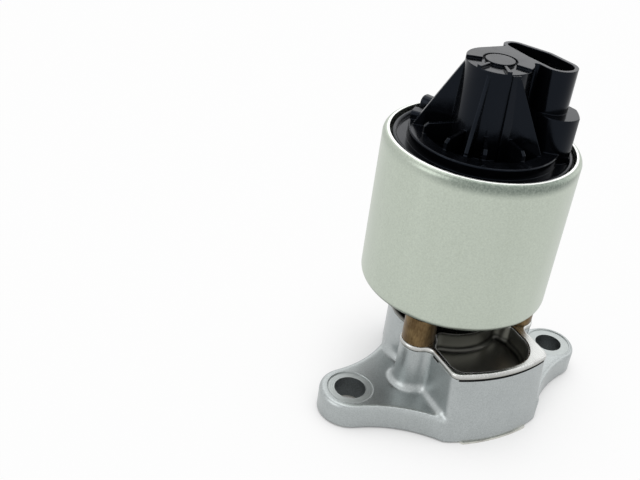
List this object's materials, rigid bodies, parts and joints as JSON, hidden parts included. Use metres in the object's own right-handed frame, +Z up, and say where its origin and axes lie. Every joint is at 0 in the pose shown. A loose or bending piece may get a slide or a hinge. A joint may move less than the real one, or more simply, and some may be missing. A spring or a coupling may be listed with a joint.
{
  "type": "egr valve",
  "caption": "Linear exhaust gas recirculation valve: two-eared cast base with gas ports, shield plate, standoffs, solenoid can and a ribbed sensor cap with an electrical connector.",
  "frame": {"origin": "midway between the two mounting holes, on the underside of the base gasket, where the valve seats on the engine", "axes": "+Z up the valve stem away from the mounting face, +X towards the ear with the closer hole, +Y towards the rear lobe under the solenoid"},
  "size_m": [0.099, 0.071, 0.113],
  "materials": {
    "gasket_steel": "thin embossed stainless sheet, satin",
    "cast_aluminium": "fine shot-blasted casting",
    "valve_steel": "ground",
    "bushing_bronze": "sintered, dull",
    "cover_gasket_graphite": "matt graphite on steel",
    "shield_steel": "polished stainless pressing",
    "standoff_bronze": "brown plated",
    "screw_steel": "zinc plated",
    "can_zinc": "satin zinc plate with a green cast",
    "pole_iron": "plated soft iron",
    "sleeve_steel": "drawn, plain",
    "bobbin_nylon": "natural glass-filled nylon",
    "winding_copper": "enamelled copper wire",
    "spring_steel": "bright spring wire",
    "cap_plastic": "black glass-filled nylon, glossy",
    "seal_rubber": "matt",
    "sensor_acetal": "natural acetal",
    "contact_brass": "tin plated",
    "element_board": "printed resistor board"
  },
  "bodies": {
    "valve_body": {"base_gasket": "gasket_steel", "base_casting": "cast_aluminium", "valve_seat": "valve_steel", "stem_bushing": "bushing_bronze", "cover_gasket": "cover_gasket_graphite", "gas_shield_plate": "shield_steel", "standoff_left": "standoff_bronze", "standoff_right": "standoff_bronze", "standoff_rear": "standoff_bronze", "standoff_screws": "screw_steel", "solenoid_can": "can_zinc", "lower_pole_piece": "pole_iron", "upper_pole_piece": "pole_iron", "armature_sleeve": "sleeve_steel", "coil_bobbin": "bobbin_nylon", "coil_winding": "winding_copper", "return_spring": "spring_steel", "sensor_spring": "spring_steel", "sensor_cap": "cap_plastic", "cap_seal": "seal_rubber", "terminal_1": "contact_brass", "terminal_2": "contact_brass", "terminal_3": "contact_brass", "terminal_4": "contact_brass", "terminal_5": "contact_brass", "resistor_element": "element_board"},
    "pintle_assembly": {"pintle": "valve_steel", "armature": "pole_iron", "armature_clip": "valve_steel"},
    "sensor_follower": {"sensor_plunger": "sensor_acetal", "wiper_carriage": "sensor_acetal", "wiper_contacts": "contact_brass"}
  },
  "joints": [
    {"name": "pintle_lift", "type": "slide", "parent": "valve_body", "child": "pintle_assembly", "axis": [0, 0, 1], "range_m": [0, 0.0045], "stiffness_N_per_m": 2000, "springref_m": -0.006, "deforming": ["return_spring"]},
    {"name": "sensor_slide", "type": "slide", "parent": "valve_body", "child": "sensor_follower", "axis": [0, 0, 1], "range_m": [0, 0.0045], "stiffness_N_per_m": 150, "springref_m": -0.004, "deforming": ["sensor_spring"]}
  ],
  "couplings": [
    {"joint": "sensor_slide", "follows": "pintle_lift", "ratio": 1}
  ]
}
